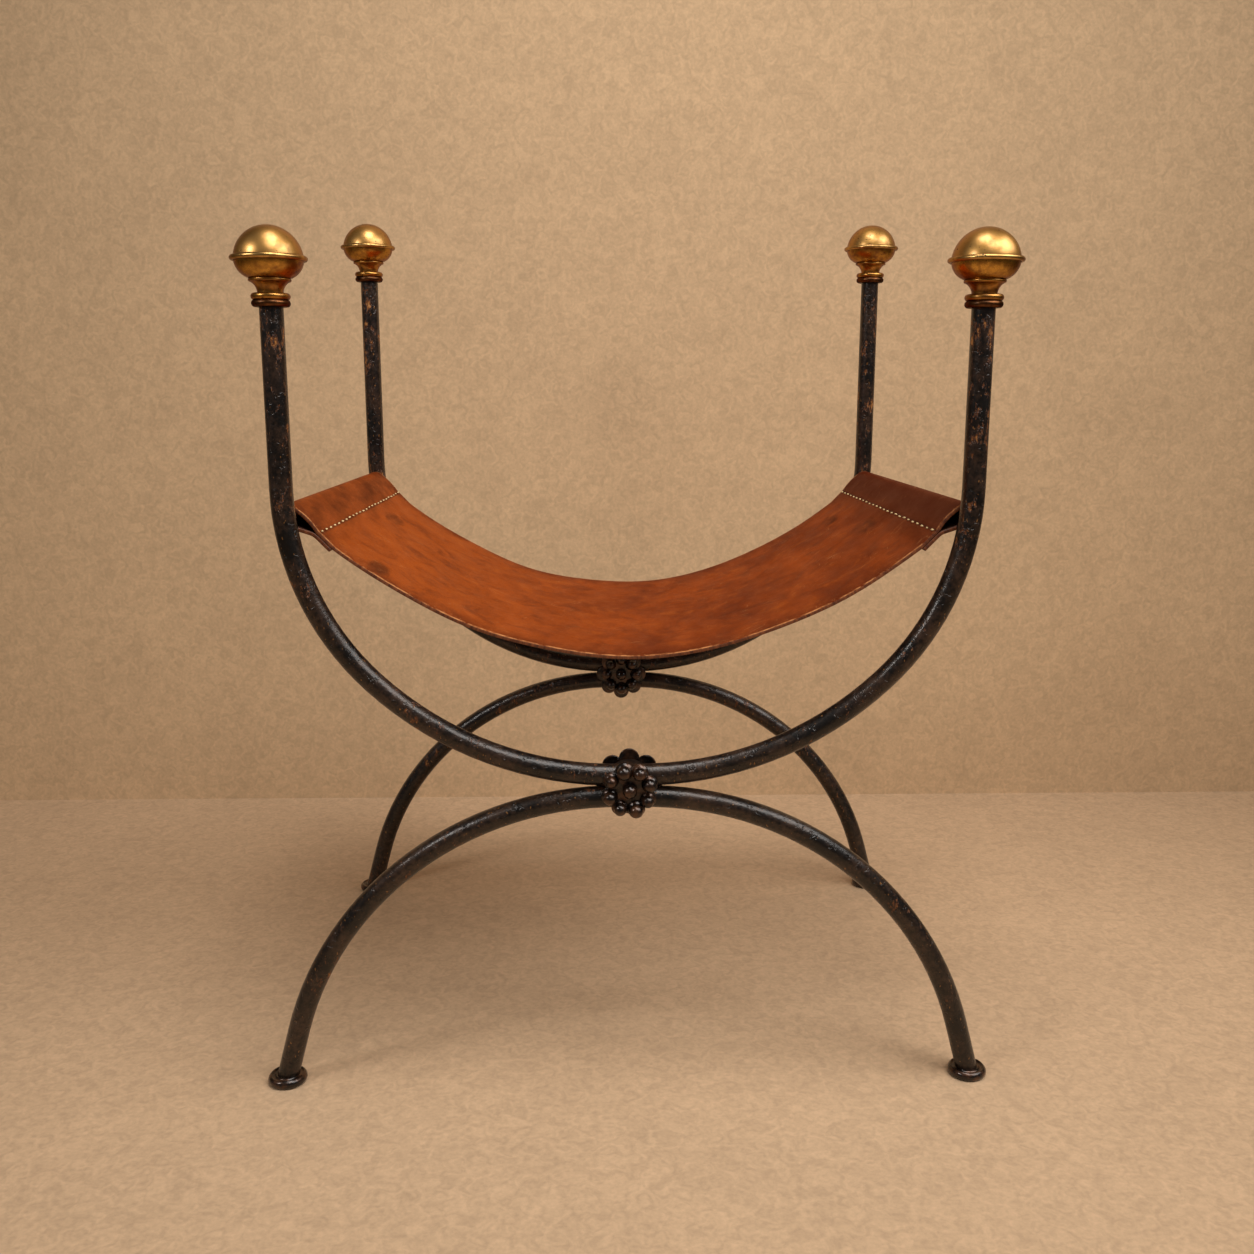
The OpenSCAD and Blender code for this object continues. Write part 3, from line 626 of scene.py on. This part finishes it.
@dataclass
class Rosettes:
    """The petalled plates with their balls, on both faces of both crossings."""

    material: bpy.types.Material
    petals: int = 8
    petal_r: float = 9.0 * MM
    petal_ring: float = 20.5 * MM
    outer_share: float = 0.84
    outer_turn: float = math.radians(16.5)
    ball_ring: float = 17.5 * MM
    ball_r: float = 5.8 * MM
    rise: float = 4.5 * MM
    bore: float = 4.2 * MM
    edge: float = 1.2 * MM
    dome: float = 0.9 * MM
    dish: float = 1.3 * MM
    dish_fill: float = 1.6
    centre_z: float = 275 * MM
    foot_share: float = 1.25
    foot_sunk: float = 0.6 * MM
    foot_high: float = 0.5 * MM
    waist_share: float = 0.93
    waist_z: float = 1.6 * MM
    rings: int = 12
    plate_steps: int = 192
    ball_steps: int = 28
    seed: int = 11

    def build(self) -> None:
        """Builds a plate and a ring of balls for each face of each crossing."""
        draw = random.Random(self.seed)
        for row in Row:
            for face in Face:
                name = f"{row.name.lower()}_{face.name.lower()}"
                low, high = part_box(f"{name}_rosette")
                outward = row.value * (1 if face is Face.OUTER else -1)
                turn = -outward * self.outer_turn if face is Face.OUTER else 0.0
                place = self.place(low, high, outward)
                body = "frame_a" if face is Face.OUTER else "frame_b"
                share = self.outer_share if face is Face.OUTER else 1.0
                thick = high.y - low.y
                plate, balls = self.plate(thick, turn, share), self.balls(thick, turn, draw)
                for piece, bm in (("rosette", plate), ("balls", balls)):
                    bm.transform(place)
                    bmesh.ops.recalc_face_normals(bm, faces=bm.faces)
                    made = to_object(bm, f"{name}_{piece}_forged", [self.material])
                    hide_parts(f"{name}_{piece}")
                    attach(made, body)
        for row in Row:
            dress(f"{row.name.lower()}_pivot_pin", self.material)
            dress(f"{row.name.lower()}_pin_cap", self.material)

    def place(self, low: Vector, high: Vector, outward: float) -> Matrix:
        """Puts a plate drawn on z = 0, facing +Z, on its side of the crossing.

        Args:
            low: the CAD plate's lowest corner.
            high: the CAD plate's highest corner.
            outward: the sign of Y that the plate faces.

        Returns:
            The matrix to place it with.
        """
        seat = low.y if outward > 0 else high.y
        turn = Matrix.Rotation(-outward * math.pi / 2, 4, "X")
        return Matrix.Translation((0, seat, self.centre_z)) @ turn

    def reach(self, angle: float) -> float:
        """Radius of the petalled outline.

        Args:
            angle: the angle from a petal's middle.

        Returns:
            The distance from the plate's centre to its rim there.
        """
        step = TAU / self.petals
        off = (angle + step / 2) % step - step / 2
        inside = self.petal_r**2 - (self.petal_ring * math.sin(off)) ** 2
        return self.petal_ring * math.cos(off) + math.sqrt(max(inside, 0))

    def plate(self, thick: float, turn: float, share: float) -> bmesh.types.BMesh:
        """Spins a disc and draws its rim out into petals, each a little domed in front and dished behind.

        Args:
            thick: the plate's thickness.
            turn: the angle of the first petal.
            share: the plate's size as a share of an inner one.

        Returns:
            The plate, standing on z = 0.
        """
        bm = bmesh.new()
        top = share * (self.petal_ring + self.petal_r)
        arc = [math.pi / 8 * i for i in range(1, 5)]
        flat = [self.bore + (top - self.edge - self.bore) * i / self.rings for i in range(self.rings + 1)]
        line = [(r, thick) for r in flat]
        line += [(top - self.edge * (1 - math.sin(a)), thick - self.edge * (1 - math.cos(a))) for a in arc]
        line += [(top - self.edge * (1 - math.cos(a)), self.edge * (1 - math.sin(a))) for a in arc]
        line += [(r, 0.0) for r in reversed(flat)]
        verts = [bm.verts.new((r, 0, z)) for r, z in line]
        edges = [bm.edges.new((verts[i], verts[(i + 1) % len(verts)])) for i in range(len(verts))]
        axis, cent = (0, 0, 1), (0, 0, 0)
        steps = self.plate_steps
        bmesh.ops.spin(bm, geom=verts + edges, axis=axis, cent=cent, steps=steps, angle=TAU, use_merge=True)
        bmesh.ops.remove_doubles(bm, verts=bm.verts, dist=1e-6)
        for vert in bm.verts:
            radius = vert.co.xy.length
            angle = math.atan2(vert.co.y, vert.co.x)
            out = (radius - self.bore) / (top - self.bore)
            drawn = self.bore + out * (share * self.reach(angle - turn) - self.bore)
            vert.co.x, vert.co.y = drawn * math.cos(angle), drawn * math.sin(angle)
            step = TAU / self.petals
            near = round((angle - turn) / step) * step + turn
            away = (vert.co.xy - share * self.petal_ring * Vector((math.cos(near), math.sin(near)))).length
            crown = max(0.0, 1 - (away / (share * self.petal_r)) ** 2)
            hollow = min(1.0, self.dish_fill * crown)
            vert.co.z += self.dome * crown if vert.co.z > thick / 2 else self.dish * hollow
        return bm

    def balls(self, thick: float, turn: float, draw: random.Random) -> bmesh.types.BMesh:
        """Forges the balls: each is a spun knob with a small foot, and no two are quite alike.

        Args:
            thick: the plate's thickness.
            turn: the angle of the first ball.
            draw: the source of the small differences.

        Returns:
            The balls, on the plate's face.
        """
        bm = bmesh.new()
        foot = self.foot_share * self.ball_r
        arc = [math.radians(d) for d in range(-24, 90, 12)]
        axis, cent = (0, 0, 1), (0, 0, 0)
        steps = self.ball_steps
        for i in range(self.petals):
            line = [(foot, -self.foot_sunk), (foot - self.foot_high, self.foot_high)]
            line.append((self.ball_r * self.waist_share, self.waist_z))
            line += [(self.ball_r * math.cos(a), self.rise + self.ball_r * math.sin(a)) for a in arc]
            line.append((0.0, self.rise + self.ball_r))
            verts = [bm.verts.new((r, 0, z)) for r, z in line]
            edges = [bm.edges.new((verts[k], verts[k + 1])) for k in range(len(verts) - 1)]
            bmesh.ops.spin(bm, geom=verts + edges, axis=axis, cent=cent, steps=steps, angle=TAU, use_merge=True)
            knob = [v for v in bm.verts if not v.tag]
            grown = draw.uniform(0.9, 1.07)
            size = Matrix.Diagonal((*(grown * draw.uniform(0.97, 1.03) for _ in range(3)), 1))
            angle = turn + TAU * i / self.petals + draw.uniform(-0.03, 0.03)
            ring = self.ball_ring + draw.uniform(-0.4, 0.4) * MM
            lean = Matrix.Rotation(draw.uniform(-0.1, 0.1), 4, "X") @ Matrix.Rotation(draw.uniform(-0.1, 0.1), 4, "Y")
            seat = Matrix.Translation((ring * math.cos(angle), ring * math.sin(angle), thick + self.dome * 0.7))
            bmesh.ops.transform(bm, matrix=seat @ lean @ size, verts=knob)
            for vert in knob:
                vert.tag = True
        bmesh.ops.remove_doubles(bm, verts=bm.verts, dist=1e-6)
        return bm


@dataclass
class Sling:
    """The leather sling, its loops round the rails and its two seams."""

    thick: float = 3.2 * MM
    layer_gap: float = 0.2 * MM
    wrap_gap: float = 0.3 * MM
    seam_in: float = 24.8 * MM
    seam_drop: float = 15.0 * MM
    seam_set: float = 2.5 * MM
    tab_in: float = 12.0 * MM
    tab_drop: float = 12.5 * MM
    sag: float = 120.0 * MM
    step: float = 1.5 * MM
    columns: int = 64
    edge: float = 0.7 * MM
    uv_span: float = 0.8
    stitches: int = 25
    stitch_long: float = 5.6 * MM
    thread_r: float = 0.9 * MM
    turn_steps: int = 24
    sag_steps: int = 60
    smoothings: int = 3
    seed: int = 23

    def __post_init__(self) -> None:
        """Reads the rail's place and the sling's width from the CAD nodes, and draws the middle line."""
        low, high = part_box("right_seat_rail")
        self.rail = Vector(((low.x + high.x) / 2, (low.z + high.z) / 2))
        self.wrap_r = (high.z - low.z) / 2 + self.wrap_gap + self.thick / 2
        low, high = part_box("leather_sling")
        self.width = high.y - low.y
        self.seam = self.rail - Vector((self.seam_in, self.seam_drop))
        self.tab = self.seam - Vector((self.tab_in, self.tab_drop))
        self.way = (self.tab - self.seam).normalized()
        self.down = Vector((-self.way.y, self.way.x))
        if self.down.y > 0:
            self.down = -self.down
        self.points = self.middle_line()
        self.length = self.step * (len(self.points) - 1)
        # The first tenth is left out, because the flap there lies close under the seam
        first = int(len(self.points) * 0.1)
        near = range(first, len(self.points) // 2)
        at = min(near, key=lambda i: (self.points[i] - self.seam).length)
        self.seam_at = self.length / 2 - at * self.step

    def touch(self, point: Vector, side: int) -> float:
        """Angle of the place where a line from a point touches the loop round the rail.

        Args:
            point: the point, in X and Z.
            side: 1 for the upper side of the loop, -1 for the lower.

        Returns:
            The angle about the rail's centre.
        """
        to = self.rail - point
        return math.atan2(to.y, to.x) + side * (math.asin(self.wrap_r / to.length) + math.pi / 2)

    def middle_line(self) -> list[Vector]:
        """The leather's middle line, from the end of the right flap to the end of the left one.

        Returns:
            Points in X and Z, at equal steps, with the corners a little rounded.
        """
        under = self.down * (self.thick + self.layer_gap)
        part = self.seam - self.seam_set * self.way
        first, last = self.touch(part + under, -1), self.touch(part, 1)
        turns = [first + (last - first) * i / self.turn_steps for i in range(self.turn_steps + 1)]
        half = [self.tab + under, part + under]
        half += [self.rail + self.wrap_r * Vector((math.cos(a), math.sin(a))) for a in turns]
        half += [part, self.tab.copy()]
        low = self.rail.y - self.sag
        for i in range(1, self.sag_steps + 1):
            x = self.tab.x * (1 - i / self.sag_steps)
            half.append(Vector((x, low + (self.tab.y - low) * (x / self.tab.x) ** 2)))
        rough = half + [Vector((-p.x, p.y)) for p in reversed(half[:-1])]
        even, left = [rough[0]], self.step
        for a, b in zip(rough, rough[1:]):
            long, at = (b - a).length, 0.0
            while long - at >= left:
                at += left
                even.append(a.lerp(b, at / long))
                left = self.step
            left -= long - at
        for _ in range(self.smoothings):
            inner = [(a + 2 * b + c) / 4 for a, b, c in zip(even, even[1:], even[2:])]
            even = [even[0], *inner, even[-1]]
        return even

    def build(self) -> None:
        """Builds the leather and the stitches."""
        made = to_object(self.strip(), "sling_leather", self.leather(), 180)
        wall = made.modifiers.new("thickness", "SOLIDIFY")
        wall.thickness, wall.offset, wall.use_even_offset = self.thick, 0, True
        wall.material_offset, wall.material_offset_rim = 1, 2
        rim = made.modifiers.new("rubbed_edge", "BEVEL")
        rim.width, rim.segments, rim.limit_method, rim.angle_limit = self.edge, 3, "ANGLE", math.radians(60)
        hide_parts("leather_sling")
        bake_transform(made)
        log.info("sling: flat %.0f x %.0f mm, seam at %.1f", self.length / MM, self.width / MM, self.seam_at / MM)
        thread = WaxedThread().build()
        self.sew(Side.LEFT, "frame_a", thread)
        self.sew(Side.RIGHT, "frame_b", thread)

    def leather(self) -> list[bpy.types.Material]:
        """Makes the leather's finishes.

        Returns:
            Those of the grain side, the flesh side and the cut edges, in the order of the mesh's slots.
        """
        grain = LeatherGrain(self.length, self.width, self.seam_at, self.uv_span)
        flesh = LeatherBack("cowhide_flesh_side", "40241a", "7a4a2e", 2.2, 0.85, self.uv_span)
        edge = LeatherBack("burnished_cowhide_edge", "4a2110", "96552d", 3.0, 0.5, self.uv_span)
        return [grain.build(), flesh.build(), edge.build()]

    def strip(self) -> bmesh.types.BMesh:
        """Bends a flat grid along the middle line.

        Returns:
            The strip, with its UV map "strip" in parts of uv_span.
        """
        bm = bmesh.new()
        last = len(self.points) - 1
        bmesh.ops.create_grid(bm, x_segments=last, y_segments=self.columns, size=0.5)
        flat = {}
        for vert in bm.verts:
            at = round((vert.co.x + 0.5) * last)
            along, across = vert.co.x * self.length, vert.co.y * self.width
            flat[vert] = (along / self.uv_span, across / self.uv_span)
            way = (self.points[min(at + 1, last)] - self.points[max(at - 1, 0)]).normalized()
            point = self.points[at] + self.ripple(along, across) * Vector((way.y, -way.x))
            vert.co = (point.x, across, point.y)
        uv = bm.loops.layers.uv.new("strip")
        for face in bm.faces:
            for loop in face.loops:
                loop[uv].uv = flat[loop.vert]
        bmesh.ops.recalc_face_normals(bm, faces=bm.faces)
        middle = min(bm.faces, key=lambda face: face.calc_center_median().z)
        if middle.normal.z < 0:
            bmesh.ops.reverse_faces(bm, faces=bm.faces)
        return bm

    def ripple(self, along: float, across: float) -> float:
        """How far the leather stands off its middle line, as worn leather does.

        Args:
            along: place along the strip, 0 in the middle.
            across: place across the strip, 0 in the middle.

        Returns:
            The distance towards the upper side, in metres.
        """
        # The factors of along and across are radians per metre, and the heights are millimetres
        free = self.seam_at - 12 * MM
        loose = max(0.0, 1 - (along / free) ** 4)
        hem = math.exp(-(self.width / 2 - abs(across)) / (14 * MM))
        looped = max(0.0, 1 - ((abs(along) - self.seam_at - 14 * MM) / (12 * MM)) ** 2)
        if looped > 0:
            return looped * MM * (0.5 + 0.3 * math.sin(across * 43 + along * 9) + 0.7 * hem)
        wave = 0.5 * math.sin(along * 31 + across * 7) + 0.35 * math.sin(along * 53 - across * 11 + 1.3)
        return loose * MM * (0.5 * wave + hem * (0.6 * math.sin(along * 38 + 2 * across) - 0.9))

    def sew(self, side: Side, body: str, thread: bpy.types.Material) -> None:
        """Sews one seam: stitches on top, and those between them below.

        Args:
            side: the side of the stool.
            body: the CAD body that the seam rides on.
            thread: the thread's finish.
        """
        draw = random.Random(self.seed + side.value)
        bm = bmesh.new()
        pitch = self.width / self.stitches
        lift = self.thick / 2 + self.thread_r * 0.35
        top = self.seam - lift * self.down
        low = self.seam + self.down * (self.thick + self.layer_gap + lift)
        rows = [(top, [(i + 0.5) * pitch for i in range(self.stitches)])]
        rows.append((low, [i * pitch for i in range(1, self.stitches)]))
        for point, places in rows:
            for place in places:
                made = bmesh.ops.create_uvsphere(bm, u_segments=12, v_segments=10, radius=1.0)["verts"]
                long = self.stitch_long / 2 * draw.uniform(0.85, 1.1)
                size = Matrix.Diagonal((self.thread_r * draw.uniform(0.9, 1.15), self.thread_r, long, 1))
                lie = Matrix.Rotation(math.pi / 2 + draw.uniform(-0.06, 0.06), 4, "X")
                turn = Matrix.Rotation(draw.uniform(-0.09, 0.09), 4, "Z")
                spot = point + draw.uniform(-0.35, 0.35) * MM * self.way
                at = Vector((side.value * spot.x, place - self.width / 2, spot.y))
                bmesh.ops.transform(bm, matrix=Matrix.Translation(at) @ turn @ lie @ size, verts=made)
        made = to_object(bm, f"{side.name.lower()}_seam_stitches", [thread], 180)
        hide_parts(f"{side.name.lower()}_seam_thread")
        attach(made, body)


@dataclass
class Studio:
    """A plain pale floor and wall, soft lamps, and the camera."""

    floor_hex: str = "c5a684"
    wall_hex: str = "d1b18a"
    air_hex: str = "f3f2f4"
    lamp_hex: str = "fffaf5"
    air_light: float = 0.11
    wall_y: float = 0.56
    wall_z: float = 5.9
    board_half: float = 6.0
    lens_mm: float = 35.0
    sensor_mm: float = 36.0
    clip_start: float = 0.05
    camera_at: Place = (-0.0238, -1.2172, 0.609)
    tilt_deg: float = 11.03
    turn_deg: float = 1.24

    def build(self) -> None:
        """Builds the room, the lamps and the camera."""
        self.board("studio_floor", Limewash("limewashed_floor", self.floor_hex), Matrix.Identity(4))
        upright = Matrix.Translation((0, self.wall_y, self.wall_z)) @ Matrix.Rotation(math.pi / 2, 4, "X")
        self.board("studio_wall", Limewash("limewashed_wall", self.wall_hex, see_behind=True), upright)
        self.lamp("key_softbox", (1.4, -1.05, 1.9), (0.0, -0.1, 0.3), size=1.2, watts=6.4, beam_deg=100)
        self.lamp("side_softbox", (1.65, -0.3, 1.8), (0.0, -0.1, 0.3), size=1.0, watts=3.1, beam_deg=100)
        self.lamp("left_strip", (-1.5, -1.2, 1.5), (0, 0, 0.5), size=0.4, watts=4.2, beam_deg=120)
        self.lamp("wall_wash", (0.03, -0.4, 2.15), (0.04, 0.56, 0.7), size=0.7, watts=5.9, beam_deg=110)
        self.lamp("floor_wash", (0.45, -1.35, 2.2), (-0.06, -0.85, 0.0), size=1.0, watts=6.2, beam_deg=90)
        world = bpy.data.worlds.new("studio_air")
        world.use_nodes = True
        background = world.node_tree.nodes["Background"]
        background.inputs["Color"].default_value = linear(self.air_hex)
        background.inputs["Strength"].default_value = self.air_light
        bpy.context.scene.world = world
        data = bpy.data.cameras.new("photo_camera")
        data.lens, data.sensor_width, data.clip_start = self.lens_mm, self.sensor_mm, self.clip_start
        camera = bpy.data.objects.new("photo_camera", data)
        camera.location = self.camera_at
        camera.rotation_euler = (math.radians(90 - self.tilt_deg), 0, -math.radians(self.turn_deg))
        bpy.context.scene.collection.objects.link(camera)
        bpy.context.scene.camera = camera
        bpy.context.scene.view_settings.view_transform = "Standard"

    def board(self, name: str, finish: Limewash, place: Matrix) -> None:
        """Lays the floor or puts up the wall.

        Args:
            name: its name.
            finish: its finish.
            place: the matrix that places it.
        """
        bm = bmesh.new()
        bmesh.ops.create_grid(bm, x_segments=1, y_segments=1, size=self.board_half)
        bm.transform(place)
        to_object(bm, name, [finish.build()])

    def lamp(self, name: str, at: Place, to: Place, size: float, watts: float, beam_deg: float) -> None:
        """Hangs a square soft lamp with a honeycomb that narrows its beam.

        Args:
            name: the lamp's name.
            at: its place.
            to: the place that it looks at.
            size: its side length.
            watts: its power.
            beam_deg: the angle that its beam opens to.
        """
        data = bpy.data.lights.new(name, "AREA")
        data.shape, data.size, data.energy, data.spread = "SQUARE", size, watts, math.radians(beam_deg)
        data.color = linear(self.lamp_hex)[:3]
        lamp = bpy.data.objects.new(name, data)
        lamp.location = at
        lamp.rotation_euler = (Vector(to) - Vector(at)).to_track_quat("-Z", "Y").to_euler()
        bpy.context.scene.collection.objects.link(lamp)


def main() -> None:
    """Builds the stool's looks in order."""
    logging.basicConfig(level=logging.INFO, format="%(name)s: %(message)s")
    browned = BrownedIron().build()
    SideFrames(ForgedIron().build(), browned).build()
    dome = AgedBrass("spun_brass_dome", bright_hex="c4934f", brown_from=0.5, roughness=0.38)
    # Painted shade: the bowl's browner, more orange brass than the dome's stands in for the shade under the dome and a
    # painted reflection of the floor
    bowl = AgedBrass("spun_brass_bowl", bright_hex="cf993a", brown_hex="8a5614", brown_from=0.41, roughness=0.26)
    bead = AgedBrass("brass_bead", bright_hex="cfa25a", brown_hex="8a5f2a", roughness=0.28)
    neck = AgedBrass("turned_brass_neck", bright_hex="bc8434", brown_hex="744817", brown_from=0.42, roughness=0.28)
    collar = AgedBrass(
        "browned_brass_collar", bright_hex="704626", brown_hex="2f1d10", brown_from=0.4, roughness=0.3, coat=0.15
    )
    steel = BrownedIron("plain_steel_stud", dark_hex="6a6560", warm_hex="807a72")
    Finials(*(finish.build() for finish in (dome, bowl, bead, neck, collar, steel))).build()
    Rosettes(browned).build()
    Sling().build()
    Studio().build()


if __name__ == "__main__":
    main()
